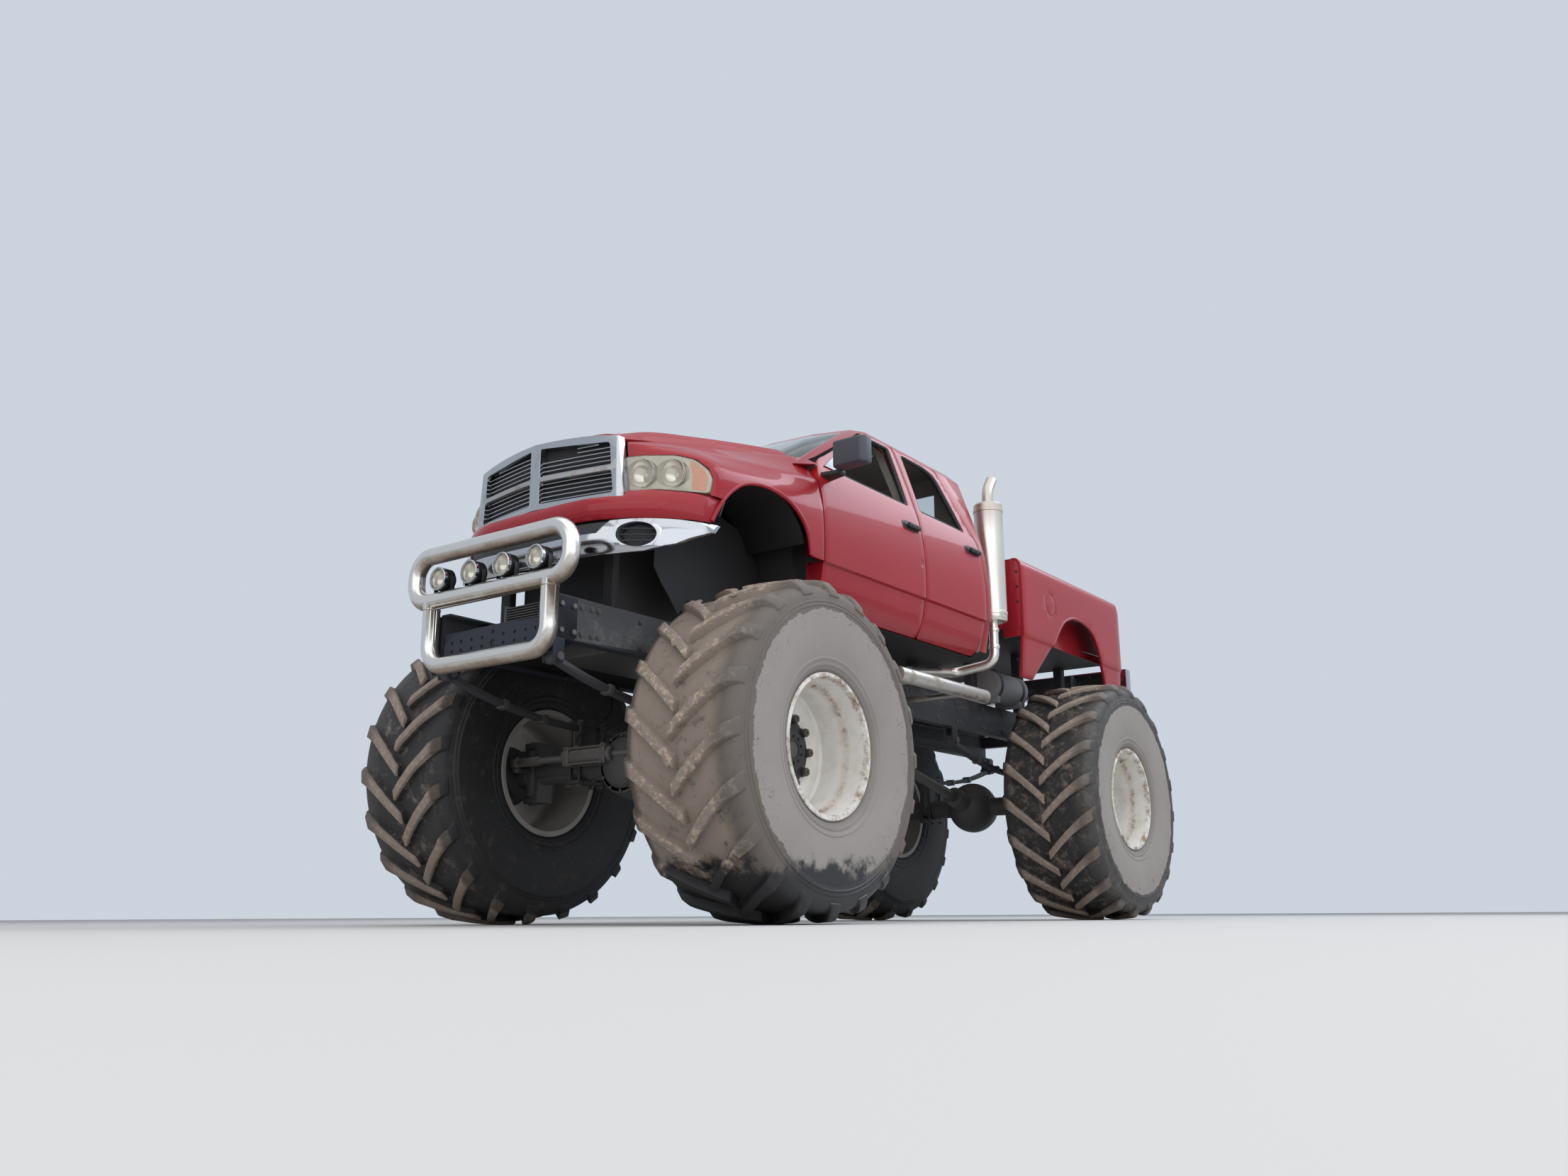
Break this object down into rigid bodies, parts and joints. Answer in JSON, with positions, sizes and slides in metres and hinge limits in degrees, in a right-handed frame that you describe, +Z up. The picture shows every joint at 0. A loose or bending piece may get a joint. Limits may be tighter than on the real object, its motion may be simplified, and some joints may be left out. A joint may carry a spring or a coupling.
{
  "type": "monster truck",
  "caption": "Crew-cab pickup on a raised ladder chassis with large lugged tyres, steered front axle, leaf springs, opening doors, hood and tailgate, bull bar and exhaust stacks.",
  "frame": {"origin": "on the ground under the middle of the truck", "axes": "+X forward, +Y to the truck's left, +Z up"},
  "size_m": [6.72, 2.884, 3.3969],
  "materials": {
    "red_paint": "glossy enamel, dusty",
    "frame_paint": "chassis black, dusty",
    "axle_paint": "grey, oily dust",
    "wheel_paint": "off white, rust stains",
    "tyre_rubber": "muddy",
    "polished_steel": "polished, weathered",
    "chrome_trim": "chrome, pitted",
    "black_plastic": "moulded",
    "lamp_glass": "clear lens",
    "red_glass": "red lens",
    "window_glass": "clear",
    "seat_cloth": "woven",
    "bare_metal": "cast, dirty"
  },
  "bodies": {
    "chassis": {"frame": "frame_paint", "springs_front": "frame_paint", "springs_rear": "frame_paint", "front_axle": "axle_paint", "rear_axle": "axle_paint", "steering_cylinder": "axle_paint", "engine": "bare_metal", "gearbox": "bare_metal", "drive_shafts": "axle_paint", "radiator": "bare_metal", "fuel_tank": "axle_paint", "bull_bar": "polished_steel", "spot_lamps": "black_plastic", "cab_shell": "red_paint", "windscreen": "window_glass", "rear_window": "window_glass", "seats": "seat_cloth", "dashboard": "black_plastic", "steering_wheel": "black_plastic", "fenders": "red_paint", "headlamps": "lamp_glass", "valance": "red_paint", "front_bumper": "chrome_trim", "bumper_insert": "black_plastic", "arch_liners": "black_plastic", "bed_tub": "red_paint", "bed_sides": "red_paint", "tail_lamps": "red_glass", "rear_bumper": "chrome_trim", "body_mounts": "frame_paint", "core_support": "frame_paint", "exhaust": "polished_steel", "side_steps": "polished_steel"},
    "hood": {"hood": "red_paint", "grille": "chrome_trim"},
    "door_front_left": {"door_front_left": "red_paint", "mirror_left": "black_plastic"},
    "door_front_right": {"door_front_right": "red_paint", "mirror_right": "black_plastic"},
    "door_rear_left": {"door_rear_left": "red_paint"},
    "door_rear_right": {"door_rear_right": "red_paint"},
    "tailgate": {"tailgate": "red_paint"},
    "knuckle_left": {"knuckle_left": "axle_paint"},
    "knuckle_right": {"knuckle_right": "axle_paint"},
    "steering_rod": {"steering_rod": "polished_steel"},
    "wheel_front_left": {"tyre_front_left": "tyre_rubber", "rim_front_left": "wheel_paint"},
    "wheel_front_right": {"tyre_front_right": "tyre_rubber", "rim_front_right": "wheel_paint"},
    "wheel_rear_left": {"tyre_rear_left": "tyre_rubber", "rim_rear_left": "wheel_paint"},
    "wheel_rear_right": {"tyre_rear_right": "tyre_rubber", "rim_rear_right": "wheel_paint"}
  },
  "joints": [
    {"name": "steer_left", "type": "hinge", "parent": "chassis", "child": "knuckle_left", "pos_m": [2.13, 0.86, 0.92], "axis": [0, 0, 1], "range_deg": [-20, 20]},
    {"name": "steer_right", "type": "hinge", "parent": "chassis", "child": "knuckle_right", "pos_m": [2.13, -0.86, 0.92], "axis": [0, 0, 1], "range_deg": [-20, 20]},
    {"name": "steering_rod_slide", "type": "slide", "parent": "chassis", "child": "steering_rod", "axis": [0, 1, 0], "range_m": [-0.0525, 0.0525]},
    {"name": "spin_front_left", "type": "hinge", "parent": "knuckle_left", "child": "wheel_front_left", "pos_m": [2.13, 1.06, 0.92], "axis": [0, 1, 0], "continuous": true},
    {"name": "spin_front_right", "type": "hinge", "parent": "knuckle_right", "child": "wheel_front_right", "pos_m": [2.13, -1.06, 0.92], "axis": [0, 1, 0], "continuous": true},
    {"name": "spin_rear_left", "type": "hinge", "parent": "chassis", "child": "wheel_rear_left", "pos_m": [-2.07, 1.06, 0.92], "axis": [0, 1, 0], "continuous": true},
    {"name": "spin_rear_right", "type": "hinge", "parent": "chassis", "child": "wheel_rear_right", "pos_m": [-2.07, -1.06, 0.92], "axis": [0, 1, 0], "continuous": true},
    {"name": "hood_hinge", "type": "hinge", "parent": "chassis", "child": "hood", "pos_m": [1.61, 0, 2.86], "axis": [0, -1, 0], "range_deg": [0, 50]},
    {"name": "door_front_left_hinge", "type": "hinge", "parent": "chassis", "child": "door_front_left", "pos_m": [1.538, 0.974, 2.27], "axis": [0, 0, -1], "range_deg": [0, 60]},
    {"name": "door_rear_left_hinge", "type": "hinge", "parent": "chassis", "child": "door_rear_left", "pos_m": [0.314, 0.974, 2.27], "axis": [0, 0, -1], "range_deg": [0, 60]},
    {"name": "door_front_right_hinge", "type": "hinge", "parent": "chassis", "child": "door_front_right", "pos_m": [1.538, -0.974, 2.27], "axis": [0, 0, 1], "range_deg": [0, 60]},
    {"name": "door_rear_right_hinge", "type": "hinge", "parent": "chassis", "child": "door_rear_right", "pos_m": [0.314, -0.974, 2.27], "axis": [0, 0, 1], "range_deg": [0, 60]},
    {"name": "tailgate_hinge", "type": "hinge", "parent": "chassis", "child": "tailgate", "pos_m": [-3.186, 0, 2.258], "axis": [0, -1, 0], "range_deg": [0, 90]}
  ],
  "couplings": [
    {"joint": "steer_right", "follows": "steer_left", "ratio": 1},
    {"joint": "steering_rod_slide", "follows": "steer_left", "m_per_rad": 0.15}
  ]
}
